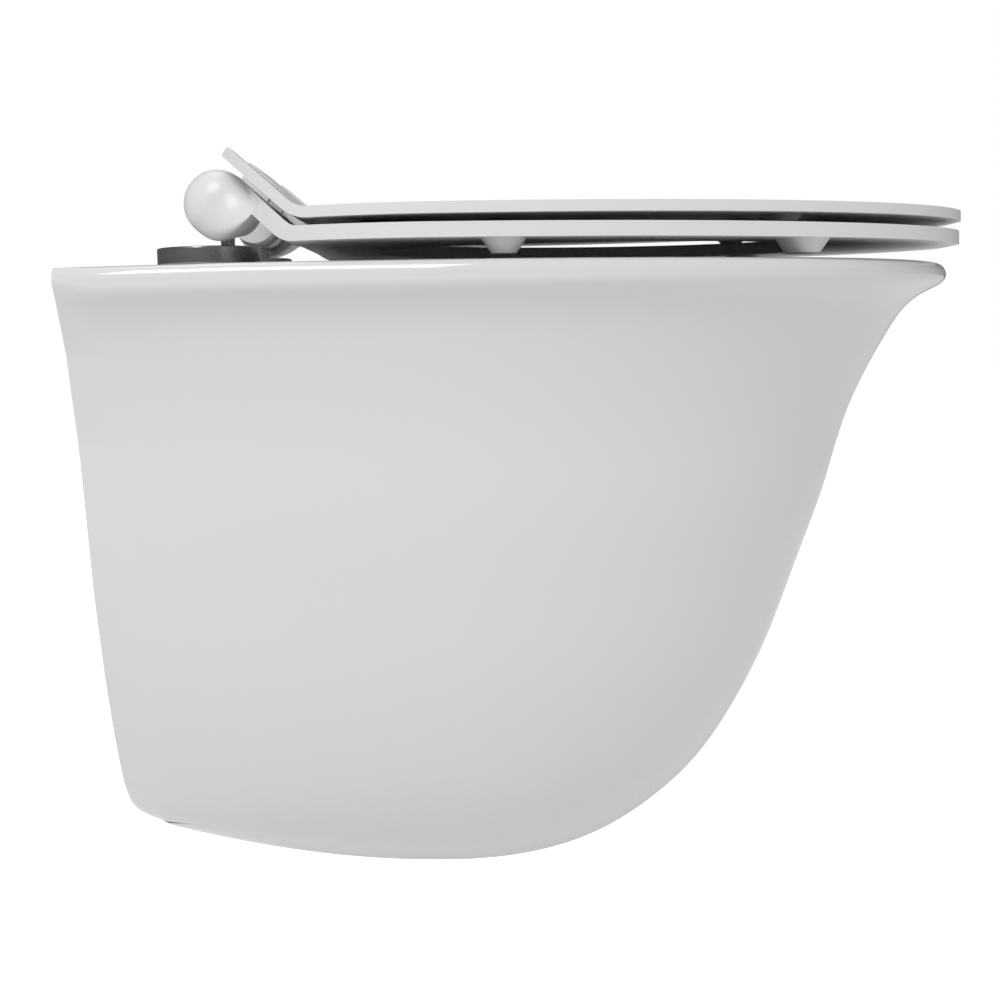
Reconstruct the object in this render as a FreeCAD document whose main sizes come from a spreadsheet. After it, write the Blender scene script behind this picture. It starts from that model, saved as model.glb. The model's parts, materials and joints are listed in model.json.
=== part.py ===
"""Wall hung toilet pan with a slim soft-close seat and lid, as separate pieces.

Frame: the wall is the plane y = 0 and the front of the pan points to -y. x runs across, z is up.
The origin is midway between the two wall bolts, on the pan's back face. Millimetres throughout.
Heights of the pan are given as depths under the flat top of its rim.
"""
import FreeCAD, Part
import math
import os

V = FreeCAD.Vector

doc = FreeCAD.newDocument("wall_hung_toilet")

# ----------------------------------------------------------------------------------------------
# Driving dimensions
# ----------------------------------------------------------------------------------------------

DIMENSIONS = {
    # pan
    "rim_above_bolts": 85,
    "widest_back": 205,
    "front_ratio": 1.71,
    "bowl_ratio": 1.45,
    "glaze_wall": 11,
    "side_wall_share": 0.8,
    "plain_sides": 48,
    "deck_thick": 16,
    "rim_level_to": 105,
    "rim_fall": 0.0095,
    "pan_depth": 370,
    "bowl_back": 134,
    # wall fixing
    "bolt_spacing": 180,
    "bolt_hole": 23,
    "flange_thick": 22,
    "flange_low": 30,
    "sleeve_bore": 13,
    "sleeve_body": 22.4,
    "sleeve_collar": 32,
    "sleeve_collar_thick": 3,
    "bolt_washer": 28,
    "bolt_washer_thick": 2.5,
    "bolt_nut_flats": 18,
    "bolt_nut_thick": 10,
    "bolt_nut_bore": 12,
    # water ways
    "inlet_drop": 50,
    "inlet_bore": 55,
    "inlet_deep": 45,
    "inlet_neck": 36,
    "outlet_drop": 185,
    "outlet_spigot": 102,
    "outlet_bore": 86,
    "outlet_long": 52,
    "trap_bore": 60,
    "trap_wall": 10,
    # seat hinge fixing
    "hinge_spacing": 155,
    "hinge_hole": 16,
    "hinge_hole_back": 71,
    "axis_back": 82,
    "axis_above_rim": 35,
    "disc_width": 59,
    "disc_thick": 10,
    "gasket_width": 57,
    "gasket_thick": 2.5,
    "post_width": 8,
    "post_above_axis": -12,
    "stud_width": 8,
    "stud_long": 52,
    "plug_width": 15.4,
    "plug_long": 22,
    "plug_head": 26,
    "hinge_nut_width": 26,
    "hinge_nut_thick": 9,
    # hinge barrels, measured from the middle of the pan
    "barrel_inner": 59.5,
    "barrel_outer": 89.5,
    "barrel_width": 32,
    "pin_width": 12,
    "pin_deep": 12,
    "running_gap": 0.05,
    "side_gap": 0.5,
    # seat and lid edges
    "edge_round": 1.5,
    "front_round_share": 0.45,
    "corner_bulge": 0.2,
    # seat
    "seat_thick": 8,
    "seat_low": 6.4,
    "seat_rise": 4.6,
    "seat_reach": 519,
    "seat_half": 179,
    "plan_back": 165,
    "tail_angle": 42,
    "arm_inner": 91.5,
    "seat_rear": 70,
    "seat_corner": 20,
    "arm_bend_over": 10,
    "arm_bend_under": 16,
    "arm_near": 9,
    "arm_far": 18.5,
    "arms_from": 126,
    "knob_width": 37.5,
    "knob_inner": 90,
    "knob_outer": 124,
    "ring_half": 112,
    "ring_front": 437,
    "ring_back": 164,
    # lid
    "lid_thick": 6,
    "lid_low": 20.2,
    "lid_rise": 2.6,
    "lid_reach": 520,
    "lid_half": 181,
    "lid_corner": 3,
    "tail_bend_over": 16,
    "tail_bend_under": 22,
    "lid_near": 22,
    "tail_past_axis": 12.5,
    "lug_width": 28,
    "lug_inner": 34,
    "lug_outer": 59,
    "web_outer": 44,
    "web_wide": 20,
    "notch_inner": 45,
    "notch_outer": 110,
    "notch_deep": 24,
    # buffers
    "seat_buffer_high": 8,
    "seat_buffer_long": 34,
    "seat_buffer_wide": 24,
    "seat_buffer_foot": 13,
    "lid_buffer_gap": 0.3,
    "lid_buffer_long": 28,
    "lid_buffer_wide": 18,
    "lid_buffer_foot": 9,
}

sheet = doc.addObject("Spreadsheet::Sheet", "dims")
for row, (alias, size) in enumerate(DIMENSIONS.items(), start=1):
    sheet.set("A%d" % row, alias.replace("_", " "))
    sheet.set("B%d" % row, str(size))
    sheet.setAlias("B%d" % row, alias)
doc.recompute()


def dim(alias):
    """The value of one cell of the sheet."""
    return float(sheet.get(alias))


RIM = dim("rim_above_bolts")

# Outer skin of the pan. Every level section is the same oval, larger or smaller: the depth under
# the rim and the front reach from the wall give its size, and the last number is how far the back
# half of the oval runs past its widest line, as a multiple of the half width.
HULL_STATIONS = (
    (0, 504, 2.55),
    (2.5, 509, 2.55),
    (8, 511, 2.55),
    (20, 498, 2.55),
    (46, 474.5, 2.52),
    (95, 449.5, 2.48),
    (135, 437, 2.48),
    (185, 418.5, 2.55),
    (235, 396.5, 2.56),
    (275, 374, 2.6),
    (308, 349.5, 2.75),
    (333, 322, 3),
    (351, 294, 2.8),
    (363, 262.5, 2.6),
    (369, 231, 2.5),
)
HOLLOW_STATIONS = ((0, 490, 2.55), (46, 474.5, 2.52), (95, 449.5, 2.48), (185, 418.5, 2.55), (275, 374, 2.6),
                   (333, 322, 3), (359, 275, 2.7))

# Inside of the bowl: depth under the rim, back and front of the oval.
BOWL_STATIONS = ((0, 134, 466), (70, 137, 453), (130, 148, 410), (185, 160, 333), (258, 178, 240))

# Centre line of the trap: distance from the wall and depth under the rim.
TRAP_ROUTE = ((225, 225), (180, 278), (150, 262), (103, 160), (38, 172))

LEFT_RIGHT = (("left", -1), ("right", 1))


# ----------------------------------------------------------------------------------------------
# Helpers
# ----------------------------------------------------------------------------------------------

def place(obj, across="0", back="0", height="0", turn=None):
    """Binds an object's place to the sheet: across is x, back the distance from the wall."""
    if turn is not None:
        obj.Placement = FreeCAD.Placement(V(0, 0, 0), turn)
    obj.setExpression("Placement.Base.x", across)
    obj.setExpression("Placement.Base.y", "-(%s)" % back)
    obj.setExpression("Placement.Base.z", height)
    return obj


ALONG_X = FreeCAD.Rotation(V(0, 1, 0), 90)
ALONG_Y = FreeCAD.Rotation(V(1, 0, 0), 90)
UPRIGHT = FreeCAD.Rotation()


def cylinder(name, width, length, across, back, height, turn=UPRIGHT):
    """A round bar whose diameter and length are sheet expressions."""
    bar = doc.addObject("Part::Cylinder", name)
    bar.setExpression("Radius", "(%s) / 2" % width)
    bar.setExpression("Height", length)
    return place(bar, across, back, height, turn)


def dome(name, width, across, back, height, turn):
    """Half a ball whose diameter is a sheet expression; it bulges upwards until it is turned."""
    body = doc.addObject("Part::Sphere", name)
    body.Angle1 = 0
    body.setExpression("Radius", "(%s) / 2" % width)
    return place(body, across, back, height, turn)


def fuse(name, pieces):
    """One solid from several."""
    result = doc.addObject("Part::MultiFuse", name)
    result.Shapes = pieces
    result.Refine = True
    return result


def cut(name, base, tools):
    """A base with each tool taken away."""
    tool = tools[0]
    if len(tools) > 1:
        tool = doc.addObject("Part::MultiFuse", name + "_tools")
        tool.Shapes = tools
    result = doc.addObject("Part::Cut", name)
    result.Base = base
    result.Tool = tool
    return result


def hexagon(name, flats, length, across, back, height, turn=UPRIGHT):
    """A hexagonal bar from its width across flats."""
    bar = doc.addObject("Part::Prism", name)
    bar.Polygon = 6
    bar.setExpression("Circumradius", "(%s) / sqrt(3)" % flats)
    bar.setExpression("Height", length)
    return place(bar, across, back, height, turn)


def feature(name, shape):
    """A piece made by the geometry functions, with an identity placement of its own."""
    obj = doc.addObject("Part::Feature", name)
    obj.Shape = shape
    obj.Placement = FreeCAD.Placement()
    return obj


def oval(front, half, back, centre, height, arcs=4):
    """A level oval of smooth arcs: an ellipse as far as front before its centre, another behind it."""
    step = 2 * math.pi / arcs
    handle = 4 / 3 * math.tan(step / 4)
    edges = []
    for index in range(arcs):
        start = index * step
        reach = front if start < math.pi - 0.01 else back
        at = [V(half * math.cos(turn), -centre - reach * math.sin(turn), height) for turn in (start, start + step)]
        along = [V(-half * math.sin(turn), -reach * math.cos(turn), 0) for turn in (start, start + step)]
        arc = Part.BezierCurve()
        arc.setPoles([at[0], at[0] + along[0] * handle, at[1] - along[1] * handle, at[1]])
        edges.append(arc.toShape())
    return Part.Wire(edges)


def plain_oval(front, half, back, centre, height):
    """Corners of the same oval with short straight sides."""
    sides = int(dim("plain_sides"))
    points = []
    for index in range(sides):
        turn = 2 * math.pi * index / sides
        reach = front if turn < math.pi else back
        points.append(V(half * math.cos(turn), -centre - reach * math.sin(turn), height))
    return points


def flat_panels(a, b, c, d):
    """One flat face through four points, or two where they don't lie in one plane."""
    square_to = (b - a).cross(c - a).normalize()
    if abs(square_to.dot(d - a)) < 1e-6:
        return [Part.Face(Part.makePolygon([a, b, c, d, a]))]
    return [Part.Face(Part.makePolygon([a, b, c, a])), Part.Face(Part.makePolygon([a, c, d, a]))]


def panelled(rings):
    """A solid of flat panels through level rings of corners."""
    faces = [Part.Face(Part.makePolygon(ring + ring[:1])) for ring in (rings[0], rings[-1])]
    for upper, lower in zip(rings, rings[1:]):
        for index, corner in enumerate(upper):
            following = (index + 1) % len(upper)
            faces.extend(flat_panels(corner, upper[following], lower[following], lower[index]))
    return Part.makeSolid(Part.makeShell(faces))


def smooth(rings):
    """A solid through level wires."""
    return Part.makeLoft(rings, True, True)


def slab(back_from, back_to, low, high, half=400):
    """A box across the pan, between two distances from the wall and two heights."""
    return Part.makeBox(2 * half, back_to - back_from, high - low, V(-half, -back_to, low))


def half_space(corner, outwards, size=1000):
    """A large block whose one face passes through the corner, on the side that outwards points to."""
    block = Part.makeBox(size, size, size, V(-size / 2, -size / 2, 0))
    block.Placement = FreeCAD.Placement(corner, FreeCAD.Rotation(V(0, 0, 1), outwards))
    return block


def tube_along(route, radius):
    """A round bar that follows straight runs with mitred corners, in the middle plane x = 0."""
    points = [V(0, -back, RIM - depth) for back, depth in route]
    runs = [(after - before).normalize() for before, after in zip(points, points[1:])]
    bars = []
    for index, run in enumerate(runs):
        start, end = points[index], points[index + 1]
        spare = 0 if index == 0 else 1.5 * radius
        beyond = 0 if index == len(runs) - 1 else 1.5 * radius
        bar = Part.makeCylinder(radius, (end - start).Length + spare + beyond, start - run * spare, run)
        if spare:
            bar = bar.cut(half_space(start, -(runs[index - 1] + run).normalize()))
        if beyond:
            bar = bar.cut(half_space(end, (run + runs[index + 1]).normalize()))
        bars.append(bar)
    return bars[0].fuse(bars[1:]).removeSplitter()


def rounded_outline(corners):
    """Edges of a closed outline from (a, b, radius) corners; a rounded corner becomes a tangent arc."""
    points = [V(a, b, 0) for a, b, _ in corners]
    entries = []
    for index, (_, _, radius) in enumerate(corners):
        corner = points[index]
        towards = (points[index - 1] - corner).normalize()
        away = (points[(index + 1) % len(points)] - corner).normalize()
        if not radius:
            entries.append((corner, None, corner))
            continue
        half_angle = towards.getAngle(away) / 2
        inset = radius / math.tan(half_angle)
        middle = corner + (towards + away).normalize() * (radius / math.sin(half_angle) - radius)
        entries.append((corner + towards * inset, middle, corner + away * inset))
    edges = []
    for index, (entry, middle, leave) in enumerate(entries):
        if middle is not None:
            edges.append(Part.Arc(entry, middle, leave))
        following = entries[(index + 1) % len(entries)][0]
        if leave.distanceToPoint(following) > 1e-6:
            edges.append(Part.LineSegment(leave, following))
    return edges


# ----------------------------------------------------------------------------------------------
# Pan
# ----------------------------------------------------------------------------------------------

def hull_solid(stations, inset, make_ring, make_solid):
    """The pan's outer skin as a full solid, or the same drawn in by the wall thickness."""
    centre = dim("widest_back")
    shrink = 1 - inset / dim("pan_depth")
    rings = []
    for depth, front, back_ratio in stations:
        half = (front - centre) / dim("front_ratio") - dim("side_wall_share") * inset
        rings.append(make_ring(half * dim("front_ratio"), half, half * back_ratio, centre, RIM - depth * shrink))
    return make_solid(rings)


def bowl_solid(grow):
    """The hollow of the bowl, or the same with its wall round it and under it."""
    deepest = BOWL_STATIONS[-1][0]
    rings = []
    for depth, back, front in BOWL_STATIONS:
        reach = (front - back) / 2 + grow
        low = depth + grow if depth == deepest else depth
        rings.append(plain_oval(reach, reach / dim("bowl_ratio"), reach, (front + back) / 2, RIM - low))
    return panelled(rings)


def make_pan():
    """The ceramic casting, open at the back, as five simple solids that meet face to face.

    The deck, the bowl, the back with the inlet, the trap with the outlet and the skirt are one
    casting on the real object. Apart, each is simple enough to leave the hollows between them open.
    """
    wall = dim("glaze_wall")
    skin = hull_solid(HULL_STATIONS, 0, oval, smooth).common(slab(0, 600, RIM - 400, RIM + 1))
    skin = skin.cut(half_space(V(0, -dim("rim_level_to"), RIM), V(0, -dim("rim_fall"), 1)))
    bowl_shell = bowl_solid(wall)
    bowl_hollow = bowl_solid(0)

    outlet_height = RIM - dim("outlet_drop")
    inlet_height = RIM - dim("inlet_drop")
    trap_radius = dim("trap_bore") / 2
    past_spigot = slab(dim("outlet_long"), 600, RIM - 400, RIM)
    past_bore = slab(dim("outlet_long") - 2, 600, RIM - 400, RIM)
    trap_outside = tube_along(TRAP_ROUTE, trap_radius + dim("trap_wall")).common(past_spigot)
    trap_inside = tube_along(TRAP_ROUTE, trap_radius).common(past_bore)

    to_front = V(0, -1, 0)
    spigot = Part.makeCylinder(dim("outlet_spigot") / 2, dim("outlet_long"), V(0, 0, outlet_height), to_front)
    inlet_tube = Part.makeCylinder(dim("inlet_bore") / 2 + wall, dim("bowl_back"), V(0, 0, inlet_height), to_front)
    flange = slab(0, dim("flange_thick"), -dim("flange_low"), RIM)

    under_deck = slab(-600, 600, RIM - 400, RIM - dim("deck_thick"))
    hollow = hull_solid(HOLLOW_STATIONS, wall, plain_oval, panelled).common(under_deck)
    for solid in (bowl_shell, trap_outside, spigot, inlet_tube, flange):
        hollow = hollow.cut(solid)

    bolt_across = dim("bolt_spacing") / 2
    cuts = [hollow, bowl_hollow, trap_inside]
    cuts.append(Part.makeCylinder(dim("outlet_bore") / 2, dim("outlet_long"), V(0, 1, outlet_height), to_front))
    cuts.append(Part.makeCylinder(dim("inlet_bore") / 2, dim("inlet_deep") + 1, V(0, 1, inlet_height), to_front))
    cuts.append(Part.makeCylinder(dim("inlet_neck") / 2, dim("bowl_back") + 20, V(0, 1, inlet_height), to_front))
    for _, side in LEFT_RIGHT:
        through = dim("flange_thick") + 4
        cuts.append(Part.makeCylinder(dim("bolt_hole") / 2, through, V(side * bolt_across, 2, 0), to_front))
        foot = V(side * dim("hinge_spacing") / 2, -dim("hinge_hole_back"), RIM - dim("deck_thick") - 2)
        cuts.append(Part.makeCylinder(dim("hinge_hole") / 2, dim("deck_thick") + 4, foot))
    rest = skin
    for tool in cuts:
        rest = rest.cut(tool)

    regions = (
        ("pan_deck", slab(-600, 600, RIM - dim("deck_thick"), RIM + 1)),
        ("pan_bowl", bowl_shell),
        ("pan_back", flange.fuse(inlet_tube)),
        ("pan_trap", trap_outside.fuse(spigot)),
    )
    made = []
    for name, region in regions:
        made.append(feature(name, rest.common(region)))
        rest = rest.cut(region)
    return made + [feature("pan_skirt", rest)]


# ----------------------------------------------------------------------------------------------
# Wall fixing: sleeve, washer and nut on each wall bolt
# ----------------------------------------------------------------------------------------------

def make_wall_fixing(side_name, side):
    """A plastic sleeve in the flange, a washer and a nut in front of it."""
    across = "%d * dims.bolt_spacing / 2" % side
    collar_at = "dims.flange_thick"
    washer_at = "dims.flange_thick + dims.sleeve_collar_thick"
    nut_at = washer_at + " + dims.bolt_washer_thick"

    body = cylinder("sleeve_body_" + side_name, "dims.sleeve_body", collar_at, across, "0", "0", ALONG_Y)
    collar = cylinder("sleeve_collar_" + side_name, "dims.sleeve_collar", "dims.sleeve_collar_thick",
                      across, collar_at, "0", ALONG_Y)
    bore = cylinder("sleeve_bore_" + side_name, "dims.sleeve_bore", washer_at + " + 2", across, "-1", "0", ALONG_Y)
    sleeve = cut("bolt_sleeve_" + side_name, fuse("sleeve_solid_" + side_name, [body, collar]), [bore])

    ring = cylinder("washer_ring_" + side_name, "dims.bolt_washer", "dims.bolt_washer_thick",
                    across, washer_at, "0", ALONG_Y)
    hole = cylinder("washer_hole_" + side_name, "dims.sleeve_bore", "dims.bolt_washer_thick + 2",
                    across, washer_at + " - 1", "0", ALONG_Y)
    washer = cut("bolt_washer_" + side_name, ring, [hole])

    block = hexagon("nut_block_" + side_name, "dims.bolt_nut_flats", "dims.bolt_nut_thick",
                    across, nut_at, "0", ALONG_Y)
    thread = cylinder("nut_thread_" + side_name, "dims.bolt_nut_bore", "dims.bolt_nut_thick + 2",
                      across, nut_at + " - 1", "0", ALONG_Y)
    nut = cut("bolt_nut_" + side_name, block, [thread])
    return {"bolt_sleeves": sleeve, "bolt_washers": washer, "bolt_nuts": nut}


# ----------------------------------------------------------------------------------------------
# Hinges
# ----------------------------------------------------------------------------------------------

AXIS_HEIGHT = "dims.rim_above_bolts + dims.axis_above_rim"


def make_hinge_fixing(side_name, side):
    """What clamps one hinge to the deck: gasket, stud, plug round it and nut under the deck."""
    across = "%d * dims.hinge_spacing / 2" % side
    hole_at = "dims.hinge_hole_back"
    rim = "dims.rim_above_bolts"
    disc_low = rim + " + dims.gasket_thick"
    under_deck = rim + " - dims.deck_thick"

    ring = cylinder("gasket_ring_" + side_name, "dims.gasket_width", "dims.gasket_thick", across, hole_at, rim)
    hole = cylinder("gasket_hole_" + side_name, "dims.hinge_hole", "dims.gasket_thick + 2",
                    across, hole_at, rim + " - 1")
    gasket = cut("hinge_gasket_" + side_name, ring, [hole])

    stud = cylinder("hinge_stud_" + side_name, "dims.stud_width", "dims.stud_long", across, hole_at,
                    disc_low + " + 5.5 - dims.stud_long")

    body = cylinder("plug_body_" + side_name, "dims.plug_width", "dims.deck_thick", across, hole_at, under_deck)
    head = cylinder("plug_head_" + side_name, "dims.plug_head", "dims.plug_long - dims.deck_thick",
                    across, hole_at, rim + " - dims.plug_long")
    bore = cylinder("plug_bore_" + side_name, "dims.stud_width + 0.4", "dims.plug_long + 2", across, hole_at,
                    rim + " - dims.plug_long - 1")
    plug = cut("hinge_plug_" + side_name, fuse("plug_solid_" + side_name, [body, head]), [bore])

    nut_low = rim + " - dims.plug_long - dims.hinge_nut_thick"
    block = hexagon("hinge_nut_block_" + side_name, "dims.hinge_nut_width", "dims.hinge_nut_thick",
                    across, hole_at, nut_low)
    thread = cylinder("hinge_nut_thread_" + side_name, "dims.stud_width + 0.1", "dims.hinge_nut_thick + 2",
                      across, hole_at, nut_low + " - 1")
    nut = cut("hinge_nut_" + side_name, block, [thread])
    return {"hinge_gaskets": gasket, "hinge_studs": stud, "hinge_plugs": plug, "hinge_nuts": nut}


def make_hinge_base(side_name, side):
    """The disc on the deck with the post that carries the barrel."""
    across = "%d * dims.hinge_spacing / 2" % side
    hole_at = "dims.hinge_hole_back"
    disc_low = "dims.rim_above_bolts + dims.gasket_thick"
    disc = cylinder("disc_" + side_name, "dims.disc_width", "dims.disc_thick", across, hole_at, disc_low)
    post = cylinder("post_" + side_name, "dims.post_width",
                    "dims.axis_above_rim - dims.gasket_thick + dims.post_above_axis",
                    across, "dims.axis_back", disc_low)
    socket = cylinder("stud_socket_" + side_name, "dims.stud_width + 0.2", "7", across, hole_at,
                      disc_low + " - 1")
    return cut("hinge_base_" + side_name, fuse("base_solid_" + side_name, [disc, post]), [socket])


def make_hinge_barrel(side_name, side):
    """The fixed barrel on its post, with a blind bore in each end for the turning pins."""
    low_end = "dims.barrel_inner" if side > 0 else "-dims.barrel_outer"
    long = "dims.barrel_outer - dims.barrel_inner"
    body = cylinder("barrel_body_" + side_name, "dims.barrel_width", long, low_end, "dims.axis_back",
                    AXIS_HEIGHT, ALONG_X)
    bore_width = "dims.pin_width + 2 * dims.running_gap"
    bores = []
    for end_name, start in (("low", low_end + " - 1"), ("high", low_end + " + " + long + " - dims.pin_deep")):
        bores.append(cylinder("barrel_bore_%s_%s" % (end_name, side_name), bore_width, "dims.pin_deep + 1",
                              start, "dims.axis_back", AXIS_HEIGHT, ALONG_X))
    bores.append(cylinder("barrel_socket_" + side_name, "dims.post_width", "dims.barrel_width / 2 + dims.post_above_axis",
                          "%d * dims.hinge_spacing / 2" % side, "dims.axis_back",
                          AXIS_HEIGHT + " - dims.barrel_width / 2"))
    return cut("hinge_barrel_" + side_name, body, bores)


def make_pins(side_name, side):
    """The seat's and the lid's turning pins, one into each end of the barrel."""
    free = "dims.pin_deep - dims.side_gap"
    seat_low = "dims.barrel_outer - (%s)" % free
    lid_low = "dims.lug_outer - dims.pin_deep"
    seat_long = "dims.knob_inner + dims.pin_deep - (%s)" % seat_low
    lid_long = "dims.barrel_inner + (%s) - (%s)" % (free, lid_low)
    pins = []
    for owner, low, long in (("seat", seat_low, seat_long), ("lid", lid_low, lid_long)):
        start = low if side > 0 else "-(%s) - (%s)" % (low, long)
        pins.append(cylinder("%s_pin_%s" % (owner, side_name), "dims.pin_width", long, start,
                             "dims.axis_back", AXIS_HEIGHT, ALONG_X))
    return pins


# ----------------------------------------------------------------------------------------------
# Seat and lid
# ----------------------------------------------------------------------------------------------

def new_sketch(body, name, plane_role, edges):
    """A sketch on one of the body's own origin planes."""
    sketch = body.newObject("Sketcher::SketchObject", name)
    plane = next(item for item in body.Origin.OriginFeatures if item.Role == plane_role)
    sketch.AttachmentSupport = [(plane, "")]
    sketch.MapMode = "FlatFace"
    for edge in edges:
        sketch.addGeometry(edge, False)
    return sketch


def pad_both_ways(body, name, sketch, length):
    """A pad as long as a sheet expression, half to each side of its sketch."""
    pad = body.newObject("PartDesign::Pad", name)
    pad.Profile = sketch
    pad.Midplane = True
    pad.setExpression("Length", length)
    return pad


def pocket_through(body, name, sketch):
    """A pocket right through the body, both ways from its sketch."""
    pocket = body.newObject("PartDesign::Pocket", name)
    pocket.Profile = sketch
    pocket.Midplane = True
    pocket.Type = "ThroughAll"
    return pocket


def beside_axis(away, along):
    """The y, z point that lies away from the hinge axis, square to the raised tail, and along it."""
    angle = math.radians(dim("tail_angle"))
    back = dim("axis_back") + away * math.sin(angle) - along * math.cos(angle)
    height = RIM + dim("axis_above_rim") + away * math.cos(angle) + along * math.sin(angle)
    return -back, height


def at_height(away, height):
    """Where the raised line at this distance from the hinge axis crosses a level line."""
    _, start = beside_axis(away, 0)
    return beside_axis(away, (height - start) / math.sin(math.radians(dim("tail_angle"))))


def side_profile(owner, near, far, past, bend_over, bend_under):
    """Side view of a plate that rises a little to the rear, where it turns up to the hinge axis."""
    thick = dim(owner + "_thick")
    reach = dim(owner + "_reach")
    rise = dim(owner + "_rise")
    base = RIM + dim(owner + "_low")
    top = base + thick
    tip = dim("front_round_share") * thick
    corners = [(-reach, base, tip), (-reach, top, tip)]
    corners.append(at_height(far, top + rise) + (bend_over,))
    corners.append(beside_axis(far, past) + (dim("edge_round"),))
    corners.append(beside_axis(near, past) + (dim("edge_round"),))
    corners.append(at_height(near, base + rise) + (bend_under,))
    return rounded_outline(corners)


def underside(owner, near, back):
    """Height of a plate's underside at a distance from the wall, and how much it rises per length."""
    base = RIM + dim(owner + "_low")
    reach = dim(owner + "_reach")
    bend_y, _ = at_height(near, base + dim(owner + "_rise"))
    slope = dim(owner + "_rise") / (reach + bend_y)
    return base + slope * (reach - back), slope


def ellipse_arc(half, reach, start, end):
    """Part of an ellipse round the pan's widest line, seen from above; angles from +x towards +y."""
    centre = V(0, -dim("widest_back"), 0)
    if reach > half:
        ellipse = Part.Ellipse(centre + V(0, reach, 0), centre + V(-half, 0, 0), centre)
        return Part.ArcOfEllipse(ellipse, start - math.pi / 2, end - math.pi / 2)
    ellipse = Part.Ellipse(centre + V(half, 0, 0), centre + V(0, reach, 0), centre)
    return Part.ArcOfEllipse(ellipse, start, end)


def plan_outline(half, reach, rear, corner):
    """Seen from above: an oval like the rim's, cut straight behind with rounded corners."""
    widest = dim("widest_back")
    back_reach = dim("plan_back")
    turn = math.asin((widest - rear - corner) / back_reach)
    start = V(half * math.cos(turn), -rear - corner, 0)
    at_rear = half * math.sqrt(1 - ((widest - rear) / back_reach) ** 2)
    end = V(at_rear - corner, -rear, 0)
    bulge = dim("corner_bulge") * corner
    middle = (start + end) * 0.5 + V(bulge, bulge, 0)
    edges = [ellipse_arc(half, reach - widest, math.pi, 2 * math.pi)]
    edges.append(ellipse_arc(half, back_reach, 0, turn))
    edges.append(ellipse_arc(half, back_reach, math.pi - turn, math.pi))
    for side in (1, -1):
        points = [V(side * point.x, point.y, 0) for point in (start, middle, end)]
        edges.append(Part.Arc(*points))
    edges.append(Part.LineSegment(end, V(-end.x, end.y, 0)))
    return edges


def rectangle(x_low, x_high, y_low, y_high):
    """Four sides of a rectangle seen from above."""
    corners = [V(x_low, y_low, 0), V(x_high, y_low, 0), V(x_high, y_high, 0), V(x_low, y_high, 0)]
    return [Part.LineSegment(corners[i], corners[(i + 1) % 4]) for i in range(4)]


def outside_of(outline):
    """The outline inside a far larger rectangle, so that a pocket takes away all outside it."""
    return rectangle(-400, 400, -700, 60) + outline


def make_plate(name, profile, outline, width):
    """A body padded across from its side profile and trimmed to its outline from above."""
    body = doc.addObject("PartDesign::Body", name)
    side = new_sketch(body, name + "_side", "YZ_Plane", profile)
    pad_both_ways(body, name + "_pad", side, width)
    plan = new_sketch(body, name + "_plan", "XY_Plane", outside_of(outline))
    pocket_through(body, name + "_trim", plan)
    return body


def make_seat():
    """The seat ring with its two arms, each ending in a ball-ended knob on the hinge axis."""
    profile = side_profile("seat", dim("arm_near"), dim("arm_far"), 0, dim("arm_bend_over"), dim("arm_bend_under"))
    outline = plan_outline(dim("seat_half"), dim("seat_reach"), dim("seat_rear"), dim("seat_corner"))
    body = make_plate("seat_plate", profile, outline, "2 * dims.seat_half + 20")

    middle = (dim("ring_front") + dim("ring_back")) / 2
    reach = (dim("ring_front") - dim("ring_back")) / 2
    centre = V(0, -middle, 0)
    ring = Part.Ellipse(centre + V(0, reach, 0), centre + V(dim("ring_half"), 0, 0), centre)
    pocket_through(body, "seat_opening", new_sketch(body, "seat_ring", "XY_Plane", [ring]))
    between = rectangle(-dim("arm_inner"), dim("arm_inner"), -dim("arms_from"), 60)
    pocket_through(body, "seat_between_arms", new_sketch(body, "seat_gap", "XY_Plane", between))

    pieces = [body]
    bores = []
    for side_name, side in LEFT_RIGHT:
        straight = "dims.knob_outer - dims.knob_width / 2 - dims.knob_inner"
        start = "dims.knob_inner" if side > 0 else "-dims.knob_inner - (%s)" % straight
        pieces.append(cylinder("knob_" + side_name, "dims.knob_width", straight, start, "dims.axis_back",
                               AXIS_HEIGHT, ALONG_X))
        pieces.append(dome("knob_end_" + side_name, "dims.knob_width",
                           "%d * (dims.knob_outer - dims.knob_width / 2)" % side, "dims.axis_back", AXIS_HEIGHT,
                           FreeCAD.Rotation(V(0, 1, 0), side * 90)))
        bore_start = "dims.knob_inner - 5" if side > 0 else "-dims.knob_inner - dims.pin_deep"
        bores.append(cylinder("knob_bore_" + side_name, "dims.pin_width", "dims.pin_deep + 5", bore_start,
                              "dims.axis_back", AXIS_HEIGHT, ALONG_X))
    return cut("seat", fuse("seat_solid", pieces), bores)


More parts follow.
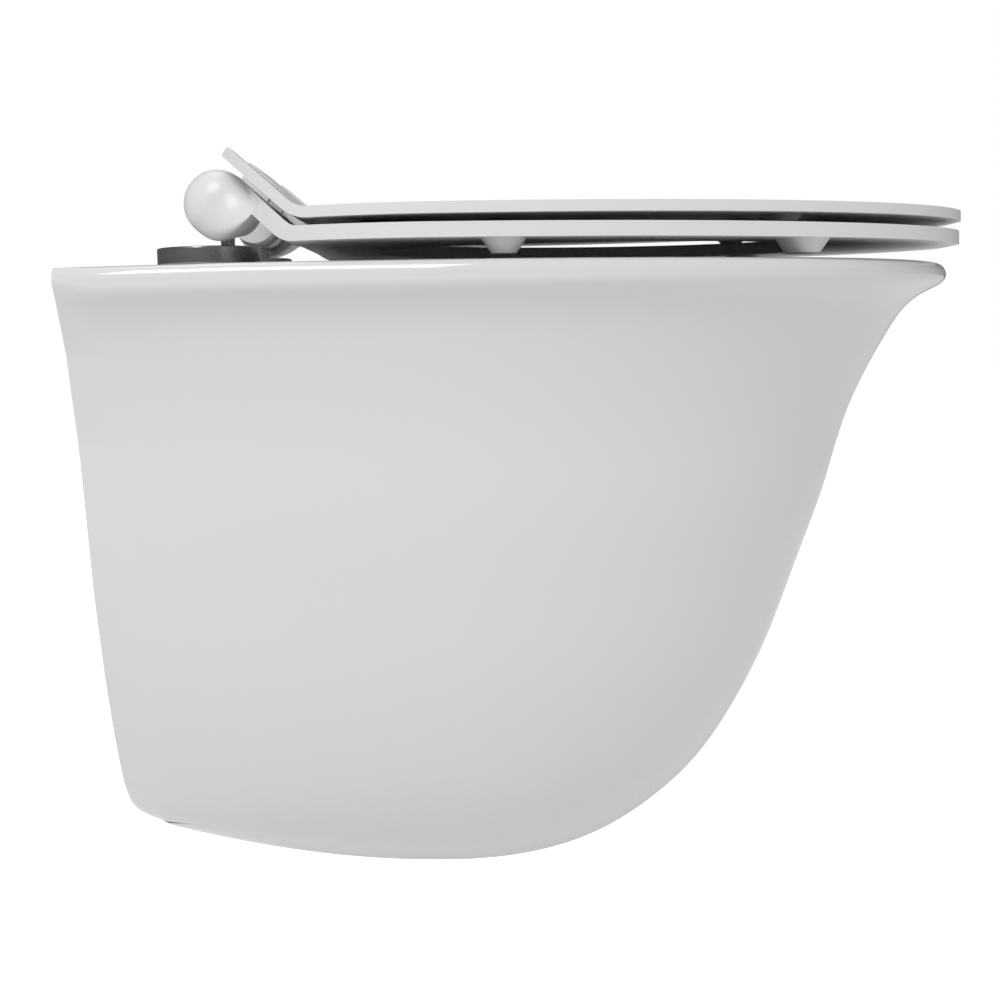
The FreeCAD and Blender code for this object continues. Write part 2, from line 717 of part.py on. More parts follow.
def make_lid():
    """The lid with its raised tail, a web and a lug on each side that carry it on the hinge axis."""
    profile = side_profile("lid", dim("lid_near"), dim("lid_near") + dim("lid_thick"), dim("tail_past_axis"),
                           dim("tail_bend_over"), dim("tail_bend_under"))
    tail_y, _ = beside_axis(dim("lid_near"), dim("tail_past_axis"))
    outline = plan_outline(dim("lid_half"), dim("lid_reach"), -tail_y - 2, dim("lid_corner"))
    body = make_plate("lid_plate", profile, outline, "2 * dims.lid_half + 20")
    for side_name, side in LEFT_RIGHT:
        across = sorted((side * dim("notch_inner"), side * dim("notch_outer")))
        notch = rectangle(across[0], across[1], tail_y - dim("notch_deep"), 60)
        pocket_through(body, "lid_notch_" + side_name,
                       new_sketch(body, "lid_notch_plan_" + side_name, "XY_Plane", notch))

    pieces = [body]
    bores = []
    for side_name, side in LEFT_RIGHT:
        start = "dims.lug_inner" if side > 0 else "-dims.lug_outer"
        pieces.append(cylinder("lug_" + side_name, "dims.lug_width", "dims.lug_outer - dims.lug_inner", start,
                               "dims.axis_back", AXIS_HEIGHT, ALONG_X))
        web = doc.addObject("Part::Box", "web_" + side_name)
        web.setExpression("Length", "dims.web_outer - dims.lug_inner")
        web.setExpression("Width", "dims.web_wide")
        web.setExpression("Height", "dims.lid_near + 1")
        lean = FreeCAD.Rotation(V(1, 0, 0), dim("tail_angle"))
        offset = lean.multVec(V(0, -dim("web_wide") / 2, 0))
        web_start = "dims.lug_inner" if side > 0 else "-dims.web_outer"
        place(web, web_start, "dims.axis_back - (%f)" % offset.y, AXIS_HEIGHT + " + (%f)" % offset.z, lean)
        pieces.append(web)
        bore_start = "dims.lug_outer - dims.pin_deep" if side > 0 else "-dims.lug_outer - 5"
        bores.append(cylinder("lug_bore_" + side_name, "dims.pin_width", "dims.pin_deep + 5", bore_start,
                              "dims.axis_back", AXIS_HEIGHT, ALONG_X))
    return cut("lid", fuse("lid_solid", pieces), bores)


# ----------------------------------------------------------------------------------------------
# Buffers
# ----------------------------------------------------------------------------------------------

def make_buffer(name, owner, across, back, turn):
    """A tapering pill square to the plate above it; turn is the way its long axis points from x."""
    wide = "dims.%s_buffer_wide" % owner
    foot = "dims.%s_buffer_foot" % owner
    straight = "dims.%s_buffer_long - %s" % (owner, wide)
    if owner == "seat":
        top, slope = underside("seat", dim("arm_near"), back)
        high = dim("seat_buffer_high")
    else:
        top, slope = underside("lid", dim("lid_near"), back)
        seat_under, _ = underside("seat", dim("arm_near"), back)
        high = top - seat_under - dim("seat_thick") - dim("lid_buffer_gap")
    lean = FreeCAD.Rotation(V(1, 0, 0), math.degrees(math.atan(slope)))
    rotation = lean.multiply(FreeCAD.Rotation(V(0, 0, 1), turn))
    base = V(across, -back, top) - lean.multVec(V(0, 0, high))
    half_run = (dim(owner + "_buffer_long") - dim(owner + "_buffer_wide")) / 2
    pieces = []
    for end in (-1, 1):
        cone = doc.addObject("Part::Cone", "%s_end_%s" % (name, "near" if end < 0 else "far"))
        cone.setExpression("Radius1", foot + " / 2")
        cone.setExpression("Radius2", wide + " / 2")
        cone.Height = high
        cone.Placement = FreeCAD.Placement(base + rotation.multVec(V(end * half_run, 0, 0)), rotation)
        pieces.append(cone)
    middle = doc.addObject("Part::Wedge", name + "_middle")
    for side, low_edge, high_edge in (("", foot, foot), ("2", wide, wide)):
        axis = "Z" + side
        middle.setExpression(axis + "min", "-(%s) / 2" % low_edge)
        middle.setExpression(axis + "max", "(%s) / 2" % high_edge)
    for key in ("Xmin", "X2min"):
        middle.setExpression(key, "-(%s) / 2" % straight)
    for key in ("Xmax", "X2max"):
        middle.setExpression(key, "(%s) / 2" % straight)
    middle.Ymin = 0
    middle.Ymax = high
    middle.Placement = FreeCAD.Placement(base, rotation.multiply(FreeCAD.Rotation(V(1, 0, 0), 90)))
    pieces.append(middle)
    return fuse(name, pieces)


# Buffers: owner, name, distance from the middle, distance from the wall, turn on the right side.
BUFFERS = (
    ("seat", "rear", 154, 240, 0),
    ("seat", "front", 118, 405, -30),
    ("lid", "rear", 136, 150, 60),
    ("lid", "front", 105, 395, -30),
)


# ----------------------------------------------------------------------------------------------
# The whole toilet
# ----------------------------------------------------------------------------------------------

def pair(name, members):
    """Two alike small pieces as one node of separate solids."""
    group = doc.addObject("Part::Compound", name)
    group.Links = members
    return group


def make_all():
    """Every piece, in the order pan, fixings, hinges, seat, lid and buffers."""
    made = make_pan()
    alike = {}
    for side_name, side in LEFT_RIGHT:
        small = {}
        small.update(make_wall_fixing(side_name, side))
        small.update(make_hinge_fixing(side_name, side))
        for name, piece in small.items():
            alike.setdefault(name, []).append(piece)
        made.append(make_hinge_base(side_name, side))
        made.append(make_hinge_barrel(side_name, side))
        made.extend(make_pins(side_name, side))
    made.append(make_seat())
    made.append(make_lid())
    for owner, where, across, back, turn in BUFFERS:
        name = "%s_buffers_%s" % (owner, where)
        for side_name, side in LEFT_RIGHT:
            piece = make_buffer("%s_%s" % (name, side_name), owner, side * across, back, side * turn)
            alike.setdefault(name, []).append(piece)
    return made + [pair(name, members) for name, members in alike.items()]


def checked_shape(piece):
    """The piece's shape, after a check that it is sound and has the solids it should."""
    wanted = len(piece.Links) if piece.TypeId == "Part::Compound" else 1
    shape = piece.Shape
    if shape.isNull() or not shape.isValid() or len(shape.Solids) != wanted:
        raise RuntimeError("%s is not sound" % piece.Name)
    return shape if wanted > 1 else shape.Solids[0]


pieces = make_all()
doc.recompute()
for item in doc.Objects:
    if {"Invalid", "Error"} & set(item.State):
        raise RuntimeError("%s did not compute" % item.Name)
os.makedirs("parts", exist_ok=True)
for piece in pieces:
    piece.Label = piece.Name
    shape = checked_shape(piece)
    shape.exportStep("parts/%s.step" % piece.Name)
    print("%-22s %12.0f mm3" % (piece.Name, shape.Volume))
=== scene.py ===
"""Looks of the wall hung toilet: glazed pan, slim seat and lid, chrome hinges, studio light.

Metres throughout. The wall face is y = 0, the front points along -y and z is up. The origin lies
midway between the two wall bolts.
"""

import json
import math

import bmesh
import bpy
import numpy as np
from mathutils import Matrix, Vector


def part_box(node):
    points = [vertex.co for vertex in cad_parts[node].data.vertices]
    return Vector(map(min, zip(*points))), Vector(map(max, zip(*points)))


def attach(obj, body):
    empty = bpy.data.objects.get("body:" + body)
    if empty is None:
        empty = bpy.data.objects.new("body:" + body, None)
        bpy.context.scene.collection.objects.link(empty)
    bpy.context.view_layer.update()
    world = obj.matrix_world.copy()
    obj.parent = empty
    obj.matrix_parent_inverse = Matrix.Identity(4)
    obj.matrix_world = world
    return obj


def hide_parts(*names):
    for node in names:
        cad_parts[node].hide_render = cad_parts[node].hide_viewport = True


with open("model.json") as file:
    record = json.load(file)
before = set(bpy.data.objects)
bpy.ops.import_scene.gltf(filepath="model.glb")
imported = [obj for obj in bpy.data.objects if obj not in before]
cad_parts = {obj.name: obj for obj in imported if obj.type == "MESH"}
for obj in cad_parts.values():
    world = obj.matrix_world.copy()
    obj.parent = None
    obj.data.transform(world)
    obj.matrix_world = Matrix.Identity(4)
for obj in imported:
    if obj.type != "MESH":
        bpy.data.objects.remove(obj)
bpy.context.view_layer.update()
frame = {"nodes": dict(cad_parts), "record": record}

MM = 0.001

# ----------------------------------------------------------------------------------------------
# Sizes of the pan, in millimetres
# ----------------------------------------------------------------------------------------------

# Height of the rim above the wall bolts, distance of the widest place from the wall, and the
# ratios of reach to half width of the pan's front and of the bowl.
RIM = 85
WIDEST_BACK = 205
FRONT_RATIO = 1.71
BOWL_RATIO = 1.45

# Depth under the rim, front reach from the wall, back reach as a multiple of the half width.
HULL_STATIONS = np.array((
    (0, 504, 2.55),
    (2.5, 509, 2.55),
    (8, 511, 2.55),
    (20, 498, 2.55),
    (46, 474.5, 2.52),
    (95, 449.5, 2.48),
    (135, 437, 2.48),
    (185, 418.5, 2.55),
    (235, 396.5, 2.56),
    (275, 374, 2.6),
    (308, 349.5, 2.75),
    (333, 322, 3),
    (351, 294, 2.8),
    (363, 262.5, 2.6),
    (369, 231, 2.5),
))

# Depth under the rim, back and front of the bowl.
BOWL_STATIONS = np.array((
    (0, 134, 466),
    (70, 137, 453),
    (130, 148, 410),
    (185, 160, 333),
))

# Depth where the CAD's bowl takes over, radius of the bowl's rounded edge, and the number of
# straight sides of the CAD's bowl.
BOWL_SEAM = 185
BOWL_EDGE = 4
BOWL_SIDES = 48

# The skin as it is seen: the same stations with a rounded rim, up to 5 mm more reach to the front
# from a depth of 235 on, and a keel that closes smoothly.
SEEN_STATIONS = np.vstack([
    ((0, 499, 2.55), (0.5, 504, 2.55), (2.8, 509, 2.55)),
    HULL_STATIONS[2:8],
    ((235, 399, 2.56), (275, 378, 2.6), (308, 354.5, 2.75)),
    ((333, 327, 3), (351, 298.5, 2.8), (363, 265, 2.6)),
    ((368, 232, 2.5), (368.9, WIDEST_BACK + 0.01, 2.5)),
])

# The splines stay inside this reach.
LONGEST = 511

# The deck is level as far as RIM_LEVEL_TO from the wall and falls by RIM_FALL per millimetre beyond
# it. The skin and the bowl under it are lowered too, less and less down to the depth FALL_FADES.
RIM_LEVEL_TO = 105
RIM_FALL = 0.0095
FALL_FADES = 34

# Over the last WALL_BLEND before the wall the skin runs over into the CAD's straight steps, down to
# the depth KEEL_FROM.
WALL_BLEND = 25
KEEL_FROM = 340

# A CAD point lies on the skin or the bowl when it is this close to the oval, as a share of the
# oval's size, and on a level, the wall or the knob's round face when it is this close in
# millimetres. Hidden points of the skin and the bowl are drawn in by INSIDE_BY.
SAME_OVAL = 0.012
SAME_LEVEL = 0.05
INSIDE_BY = 3
PAN_NODES = ("pan_deck", "pan_bowl", "pan_back", "pan_trap", "pan_skirt")

# Steps of the grids. The skin's rings lie closer together towards the rim, by this power.
RING_STEPS = 220
WALL_STEPS = 36
HULL_STEPS = 170
DECK_STEPS = 8
EDGE_STEPS = 7
BOWL_STEPS = 60
RIM_CROWDING = 1.6


# ----------------------------------------------------------------------------------------------
# Curves and meshes
# ----------------------------------------------------------------------------------------------

# Merging distances are in metres, angles in degrees. A grid's points merge sooner than a CAD
# node's, and a copy of a CAD node is rounded at the edges that are sharper than ROUNDED_FROM.
GRID_DOUBLES = 2e-5
CAD_DOUBLES = 1e-6
FLAT_WITHIN = 0.4
GRID_SHARP = 40
COPY_SHARP = 30
ROUNDED_FROM = 40
ROUNDING_SEGMENTS = 3


def smooth_through(knots, values, at):
    """Natural cubic spline: the piecewise cubic through every value whose slope and curvature
    run on without a step, and whose curvature is zero at both ends."""
    gap = np.diff(knots)
    slope = np.diff(values) / gap
    count = len(knots)
    system = np.eye(count)
    right = np.zeros(count)
    inner = np.arange(1, count - 1)
    system[inner, inner - 1] = gap[:-1]
    system[inner, inner] = 2 * (gap[:-1] + gap[1:])
    system[inner, inner + 1] = gap[1:]
    right[inner] = 6 * np.diff(slope)
    bend = np.linalg.solve(system, right)
    index = np.clip(np.searchsorted(knots, at) - 1, 0, count - 2)
    low, high = knots[index], knots[index + 1]
    width = high - low
    before, after = (high - at) / width, (at - low) / width
    cubic = (before ** 3 - before) * bend[index] + (after ** 3 - after) * bend[index + 1]
    return before * values[index] + after * values[index + 1] + cubic * width ** 2 / 6


def eased(share):
    """0 to 1 with a level start and end: three squares less two cubes of the share."""
    share = np.clip(share, 0, 1)
    return share * share * (3 - 2 * share)


def grid_faces(rows, columns, close=False):
    """Quads between neighbouring rows and columns of a grid of points."""
    row = np.arange(rows - 1)[:, None]
    column = np.arange(columns if close else columns - 1)[None, :]
    following = (column + 1) % columns
    corners = (row * columns + column, row * columns + following,
               (row + 1) * columns + following, (row + 1) * columns + column)
    shape = (rows - 1, column.shape[1])
    return np.stack([np.broadcast_to(corner, shape) for corner in corners], -1).reshape(-1, 4)


def join_parts(parts):
    """One list of points and one of faces from several (points, faces) pairs."""
    points, faces, base = [], [], 0
    for part_points, part_faces in parts:
        points.append(part_points)
        faces.extend((part_faces + base).tolist())
        base += len(part_points)
    return np.vstack(points), faces


def new_piece(name, points, faces, body, slot):
    """A mesh object from points in millimetres, with doubles merged, that rides on a body."""
    mesh = bpy.data.meshes.new(name)
    mesh.from_pydata((points * MM).tolist(), [], faces)
    work = bmesh.new()
    work.from_mesh(mesh)
    bmesh.ops.remove_doubles(work, verts=work.verts, dist=GRID_DOUBLES)
    bmesh.ops.dissolve_degenerate(work, edges=work.edges, dist=CAD_DOUBLES)
    work.to_mesh(mesh)
    work.free()
    finish_mesh(mesh, MATERIALS[slot], GRID_SHARP)
    piece = bpy.data.objects.new(name, mesh)
    bpy.context.scene.collection.objects.link(piece)
    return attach(piece, body)


def finish_mesh(mesh, material, sharp_angle):
    """Smooth shading that breaks at edges sharper than the angle, and one material."""
    mesh.shade_smooth()
    mesh.set_sharp_from_angle(angle=math.radians(sharp_angle))
    mesh.materials.clear()
    mesh.materials.append(material)


def rounded_copy(node, body, slot, width):
    """A copy of a CAD node with its sharp edges rounded over width, shown in the node's place."""
    source = frame["nodes"][node]
    mesh = source.data.copy()
    mesh.name = node + "_rounded"
    work = bmesh.new()
    work.from_mesh(mesh)
    bmesh.ops.remove_doubles(work, verts=work.verts, dist=CAD_DOUBLES)
    flat = math.radians(FLAT_WITHIN)
    bmesh.ops.dissolve_limit(work, angle_limit=flat, verts=work.verts, edges=work.edges)
    work.to_mesh(mesh)
    work.free()
    finish_mesh(mesh, MATERIALS[slot], COPY_SHARP)
    piece = bpy.data.objects.new(node + "_rounded", mesh)
    bpy.context.scene.collection.objects.link(piece)
    bevel = piece.modifiers.new("rounding", "BEVEL")
    bevel.width = width * MM
    bevel.segments = ROUNDING_SEGMENTS
    bevel.limit_method = "ANGLE"
    bevel.angle_limit = math.radians(ROUNDED_FROM)
    bevel.harden_normals = True
    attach(piece, body)
    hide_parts(node)
    return piece


# ----------------------------------------------------------------------------------------------
# Materials
# ----------------------------------------------------------------------------------------------

GRAIN_DETAIL = 4
PATCH_SCALE = 6
PATCH_DETAIL = 2


def grain_group():
    """Shared surface grain: a noise on object coordinates that varies roughness and lifts a bump.

    Roughness runs from low to high with the noise, and the bump is as high as Height, in metres.
    """
    group = bpy.data.node_groups.new("surface_grain", "ShaderNodeTree")
    sockets = (
        ("Scale", "INPUT", "NodeSocketFloat", 30),
        ("Roughness Low", "INPUT", "NodeSocketFloat", 0.05),
        ("Roughness High", "INPUT", "NodeSocketFloat", 0.1),
        ("Height", "INPUT", "NodeSocketFloat", 0.0001),
        ("Roughness", "OUTPUT", "NodeSocketFloat", 0),
        ("Normal", "OUTPUT", "NodeSocketVector", None),
    )
    for name, way, kind, value in sockets:
        socket = group.interface.new_socket(name=name, in_out=way, socket_type=kind)
        if value is not None and way == "INPUT":
            socket.default_value = value
    nodes, links = group.nodes, group.links
    given = nodes.new("NodeGroupInput")
    result = nodes.new("NodeGroupOutput")
    place = nodes.new("ShaderNodeTexCoord")
    noise = nodes.new("ShaderNodeTexNoise")
    noise.inputs["Detail"].default_value = GRAIN_DETAIL
    span = nodes.new("ShaderNodeMapRange")
    bump = nodes.new("ShaderNodeBump")
    bump.inputs["Strength"].default_value = 1
    links.new(place.outputs["Object"], noise.inputs["Vector"])
    links.new(given.outputs["Scale"], noise.inputs["Scale"])
    links.new(noise.outputs["Fac"], span.inputs["Value"])
    links.new(given.outputs["Roughness Low"], span.inputs["To Min"])
    links.new(given.outputs["Roughness High"], span.inputs["To Max"])
    links.new(noise.outputs["Fac"], bump.inputs["Height"])
    links.new(given.outputs["Height"], bump.inputs["Distance"])
    links.new(span.outputs["Result"], result.inputs["Roughness"])
    links.new(bump.outputs["Normal"], result.inputs["Normal"])
    return group


GRAIN = grain_group()


def new_material(name, colour, rough, scale, height,
                 metallic=0.0, coat=0.0, coat_rough=0.03, mottle=0.0):
    """A principled material whose roughness and bump come from the shared grain.

    colour is linear, rough is the lowest and highest roughness, scale and height are the grain's,
    and mottle is the share by which the colour drifts darker in broad soft patches.
    """
    material = bpy.data.materials.new(name)
    material.use_nodes = True
    nodes, links = material.node_tree.nodes, material.node_tree.links
    shader = nodes["Principled BSDF"]
    shader.inputs["Metallic"].default_value = metallic
    shader.inputs["Coat Weight"].default_value = coat
    shader.inputs["Coat Roughness"].default_value = coat_rough
    grain = nodes.new("ShaderNodeGroup")
    grain.node_tree = GRAIN
    grain.inputs["Scale"].default_value = scale
    grain.inputs["Roughness Low"].default_value = rough[0]
    grain.inputs["Roughness High"].default_value = rough[1]
    grain.inputs["Height"].default_value = height
    links.new(grain.outputs["Roughness"], shader.inputs["Roughness"])
    links.new(grain.outputs["Normal"], shader.inputs["Normal"])
    place = nodes.new("ShaderNodeTexCoord")
    patches = nodes.new("ShaderNodeTexNoise")
    patches.inputs["Scale"].default_value = PATCH_SCALE
    patches.inputs["Detail"].default_value = PATCH_DETAIL
    tint = nodes.new("ShaderNodeMix")
    tint.data_type = "RGBA"
    darker = [channel * (1 - mottle) for channel in colour]
    tint.inputs["A"].default_value = (*darker, 1)
    tint.inputs["B"].default_value = (*colour, 1)
    links.new(place.outputs["Object"], patches.inputs["Vector"])
    links.new(patches.outputs["Fac"], tint.inputs["Factor"])
    links.new(tint.outputs["Result"], shader.inputs["Base Color"])
    return material


def grey(value):
    """The same linear value in all three channels."""
    return (value, value, value)


# Colour, roughness, grain scale and grain height of each finish, then what sets it apart.
FINISHES = {
    "glaze": (grey(0.71), (0.05, 0.09), 18, 2e-5, dict(coat=0.4, mottle=0.015)),
    "seat_white": (grey(0.73), (0.3, 0.38), 60, 1e-5, dict(coat=0.1, coat_rough=0.2, mottle=0.01)),
    "buffer_white": (grey(0.6), (0.45, 0.6), 300, 3e-5, dict(mottle=0.04)),
    "chrome_trim": ((0.52, 0.52, 0.53), (0.24, 0.32), 90, 1e-5, dict(metallic=1.0, mottle=0.06)),
    "steel": ((0.5, 0.5, 0.51), (0.25, 0.38), 150, 1e-5, dict(metallic=1.0, mottle=0.06)),
    "zinc_steel": ((0.55, 0.56, 0.58), (0.3, 0.45), 200, 1e-5, dict(metallic=1.0, mottle=0.1)),
    "grey_plastic": (grey(0.5), (0.4, 0.55), 120, 2e-5, dict(mottle=0.04)),
    "black_rubber": (grey(0.02), (0.5, 0.7), 260, 4e-5, dict(mottle=0.2)),
}
MATERIALS = {
    name: new_material(name, *plain, **special) for name, (*plain, special) in FINISHES.items()
}
SLOTS = {part["node"]: part["material_slot"] for part in frame["record"]["subparts"]}


def dress_nodes():
    """Each CAD node gets the material of its slot."""
    for name, node in frame["nodes"].items():
        node.data.materials.clear()
        node.data.materials.append(MATERIALS[SLOTS[name]])


# ----------------------------------------------------------------------------------------------
# Pan
# ----------------------------------------------------------------------------------------------

def hull_levels(steps):
    """Depth, front reach and back ratio at steps along the pan's front outline, closest at the rim.

    Each is a spline over the length of the outline through the stations.
    """
    run = np.hypot(np.diff(SEEN_STATIONS[:, 0]), np.diff(SEEN_STATIONS[:, 1]))
    knots = np.concatenate([[0], np.cumsum(run)])
    at = knots[-1] * np.linspace(0, 1, steps) ** RIM_CROWDING
    depth, front, ratio = [smooth_through(knots, SEEN_STATIONS[:, column], at) for column in range(3)]
    depth = np.maximum.accumulate(np.clip(depth, 0, SEEN_STATIONS[-1, 0]))
    return depth, np.minimum(front, LONGEST), ratio


def deck_fall(y):
    """How far the deck has fallen at a place between the wall and the front: a straight line."""
    return RIM_FALL * np.maximum(0, -y - RIM_LEVEL_TO)


def sunk(points):
    """The same points lowered by the deck's fall, which fades out with the depth under the rim."""
    depth = RIM - points[..., 2]
    lowered = points.copy()
    lowered[..., 2] -= deck_fall(points[..., 1]) * eased(1 - depth / FALL_FADES)
    return lowered


def oval_points(turn, half, front, back, centre):
    """Points of an oval: half times the cosine across, reach times the sine ahead of the centre.

    The front half has the reach front, the back half the reach back.
    """
    reach = np.where(np.sin(turn) >= 0, front, back)
    return half * np.cos(turn), -(centre + reach * np.sin(turn))


def skin_rings(depth, front, ratio):
    """Level rings of the skin from one wall edge round the front to the other, cut at the wall.

    Each ring is an oval whose half width is its front reach over FRONT_RATIO, and whose back reach
    is ratio times the half width.
    """
    reach = np.maximum(front - WIDEST_BACK, 0)
    half = reach / FRONT_RATIO
    back = half * ratio
    cut = np.arcsin(np.minimum(1, WIDEST_BACK / np.maximum(back, 1)))
    past = np.where(back > WIDEST_BACK, cut, math.pi / 2)
    across = np.linspace(-1, 1, RING_STEPS + 1)[None, :]
    turn = math.pi / 2 + across * (math.pi / 2 + past[:, None])
    x, y = oval_points(turn, half[:, None], reach[:, None], back[:, None], WIDEST_BACK)
    z = np.broadcast_to(RIM - depth[:, None], x.shape)
    return np.stack([x, np.minimum(y, 0), z], -1)


def hull_grid():
    """The outer skin from the rim down to the keel, from one wall edge round the front to the other.

    Each level is an oval, cut where it meets the wall. Lower levels end before the wall, so their
    two ends meet in a closed seam, and the last level closes in a point. Close to the wall the
    rings run over into the straight steps between the stations, which the flat back ends at.
    """
    depth, front, ratio = hull_levels(HULL_STEPS)
    points = skin_rings(depth, front, ratio)
    straight = [np.interp(depth, HULL_STATIONS[:, 0], HULL_STATIONS[:, column]) for column in (1, 2)]
    stepped = skin_rings(depth, *straight)
    share = np.clip(1 + points[..., 1:2] / WALL_BLEND, 0, 1)
    above_keel = (depth < KEEL_FROM)[:, None, None]
    points = np.where(above_keel, points + (stepped - points) * share, points)
    return sunk(points), grid_faces(HULL_STEPS, RING_STEPS + 1)[:, ::-1]


def bowl_ring(depth_values, back_values, front_values, angle):
    """Ovals of the bowl at the given depths, each with a point in every direction from its centre.

    The radius is one over the root of two squares added up: the cosine over the half width and the
    sine over the reach. The last oval has the short straight sides of the CAD's bowl, which goes on
    below it.
    """
    reach = (front_values - back_values) / 2
    half = reach / BOWL_RATIO
    centre = (front_values + back_values) / 2
    radius = 1 / np.sqrt((np.cos(angle)[None, :] / half[:, None]) ** 2
                         + (np.sin(angle)[None, :] / reach[:, None]) ** 2)
    side = math.pi / BOWL_SIDES
    turn = np.arctan2(np.sin(angle) / reach[-1], np.cos(angle) / half[-1])
    radius[-1] *= math.cos(side) / np.cos(np.mod(turn, 2 * side) - side)
    x = radius * np.cos(angle)[None, :]
    y = -centre[:, None] - radius * np.sin(angle)[None, :]
    z = np.broadcast_to(RIM - depth_values[:, None], x.shape)
    return np.stack([x, y, z], -1)


def deck_and_bowl_grid(rim_edge):
    """The deck from the rim's edge and the wall line in to the bowl, then down the bowl's side.

    Straight lines cross the deck, a quarter round of BOWL_EDGE turns over the edge, and splines
    through the bowl's stations go down to the seam.
    """
    rim_edge = rim_edge * (1, 1, 0) + (0, 0, RIM)
    left, right = rim_edge[-1], rim_edge[0]
    wall_share = np.linspace(0, 1, WALL_STEPS + 1)[1:-1, None]
    outer = np.vstack([rim_edge, left + (right - left) * wall_share])
    top = BOWL_STATIONS[0]
    centre = (top[1] + top[2]) / 2
    angle = np.arctan2(-(outer[:, 1] + centre), outer[:, 0])

    turn = np.linspace(0, math.pi / 2, EDGE_STEPS + 1)
    edge_depth = BOWL_EDGE * (1 - np.cos(turn))
    edge_out = BOWL_EDGE * (1 - np.sin(turn))
    depth = np.concatenate([edge_depth[:-1], np.linspace(BOWL_EDGE, BOWL_SEAM, BOWL_STEPS)])
    grow = np.concatenate([edge_out[:-1], np.zeros(BOWL_STEPS)])
    back = smooth_through(BOWL_STATIONS[:, 0], BOWL_STATIONS[:, 1], depth) - grow
    front = smooth_through(BOWL_STATIONS[:, 0], BOWL_STATIONS[:, 2], depth) + grow
    bowl = bowl_ring(depth, back, front, angle)

    share = np.linspace(0, 1, DECK_STEPS + 1)[:-1, None, None]
    deck = outer[None] + (bowl[0][None] - outer[None]) * share
    points = np.concatenate([deck, bowl])
    return sunk(points), grid_faces(points.shape[0], points.shape[1], close=True)


def level_value(points, depths, half, front, back, centre):
    """How far out a point lies in the oval at its depth: 1 on the oval, less inside it."""
    depth = RIM - points[:, 2]
    ahead = -points[:, 1] - np.interp(depth, depths, centre)
    reach = np.where(ahead >= 0, np.interp(depth, depths, front), np.interp(depth, depths, back))
    return np.hypot(points[:, 0] / np.interp(depth, depths, half), ahead / reach)


def mesh_arrays(node):
    """Points in millimetres and triangles of a CAD node."""
    mesh = frame["nodes"][node].data
    points = np.empty(len(mesh.vertices) * 3)
    mesh.vertices.foreach_get("co", points)
    mesh.calc_loop_triangles()
    faces = np.empty(len(mesh.loop_triangles) * 3, np.int64)
    mesh.loop_triangles.foreach_get("vertices", faces)
    return points.reshape(-1, 3) / MM, faces.reshape(-1, 3)


def kept_cad_faces(node):
    """A CAD node of the pan without the faces that the smooth grids replace.

    Those are the outer skin, the deck and the upper bowl. What is left of hidden faces inside the
    wall is drawn in a little from the skin and the bowl.
    """
    points, faces = mesh_arrays(node)
    depths, front, ratio = HULL_STATIONS.T
    reach = front - WIDEST_BACK
    half = reach / FRONT_RATIO
    middle = np.full(len(depths), WIDEST_BACK)
    out = level_value(points, depths, half, reach, half * ratio, middle)
    on_skin = np.abs(out - 1) < SAME_OVAL
    on_skin |= points[:, 2] < RIM - depths[-1] + SAME_LEVEL
    on_deck = points[:, 2] > RIM - deck_fall(points[:, 1]) - SAME_LEVEL
    depths, back, front = BOWL_STATIONS.T
    reach = (front - back) / 2
    middle = (front + back) / 2
    out = level_value(points, depths, reach / BOWL_RATIO, reach, reach, middle)
    on_bowl = np.abs(out - 1) < SAME_OVAL
    on_bowl &= points[:, 2] > RIM - BOWL_SEAM - SAME_LEVEL
    at_wall = points[:, 1] > -SAME_LEVEL
    drop = np.zeros(len(faces), bool)
    for mask in (on_skin, on_deck, on_bowl):
        drop |= mask[faces].all(1)
    drop &= ~at_wall[faces].all(1)

    above_seam = points[:, 2] > RIM - BOWL_SEAM + SAME_LEVEL
    hidden_skin = (on_skin & ~at_wall, -1, WIDEST_BACK)
    hidden_bowl = (on_bowl & above_seam, 1, middle[0])
    for mask, way, centre in (hidden_skin, hidden_bowl):
        outwards = points[:, :2] + (0, centre)
        outwards /= np.maximum(np.linalg.norm(outwards, axis=1), 1)[:, None]
        points[mask, :2] += way * INSIDE_BY * outwards[mask]
    return points, faces[~drop]


def make_pan():
    """The glazed pan: smooth skin, deck and bowl, with the CAD's trap, spigot and open back."""
    hull, hull_faces = hull_grid()
    deck, deck_faces = deck_and_bowl_grid(hull[0])
    parts = [(hull.reshape(-1, 3), hull_faces), (deck.reshape(-1, 3), deck_faces)]
    parts.extend(kept_cad_faces(node) for node in PAN_NODES)
    points, faces = join_parts(parts)
    pan = new_piece("pan_glazed", points, faces, "pan", "glaze")
    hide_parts(*PAN_NODES)


# ----------------------------------------------------------------------------------------------
# Seat arms
# ----------------------------------------------------------------------------------------------

# The hinge axis, and the slope of the raised arms.
AXIS_BACK = 82
AXIS_HEIGHT = RIM + 35
ARM_ANGLE = math.radians(42)

# Each arm is a plate with faces ARM_NEAR and ARM_FAR from the axis. Its part outside ARM_INNER
# narrows over ARM_NARROWS to a share of its width. The margins catch the points on its faces.
ARM_INNER = 91.5
ARM_NEAR = 9
ARM_FAR = 18.5
ARM_NARROWS = 30
ARM_END_WIDTH = 0.45
ARM_FACE_MARGIN = 0.2
ARM_END_MARGIN = 0.3

# The knob: a ball round the axis behind, and a body of KNOB_LONG that flattens into the arm ahead.
# It lies between KNOB_INNER and KNOB_OUTER from the middle of the seat, and its thin end reaches
# KNOB_WIDENS further out. The thin end stays a little inside the arm's near and far faces.
KNOB_RADIUS = 18.75
KNOB_INNER = 90.3
KNOB_OUTER = 127
KNOB_LONG = 22
KNOB_WIDENS = 9
KNOB_UNDER_NEAR = 0.4
KNOB_UNDER_FAR = 0.2

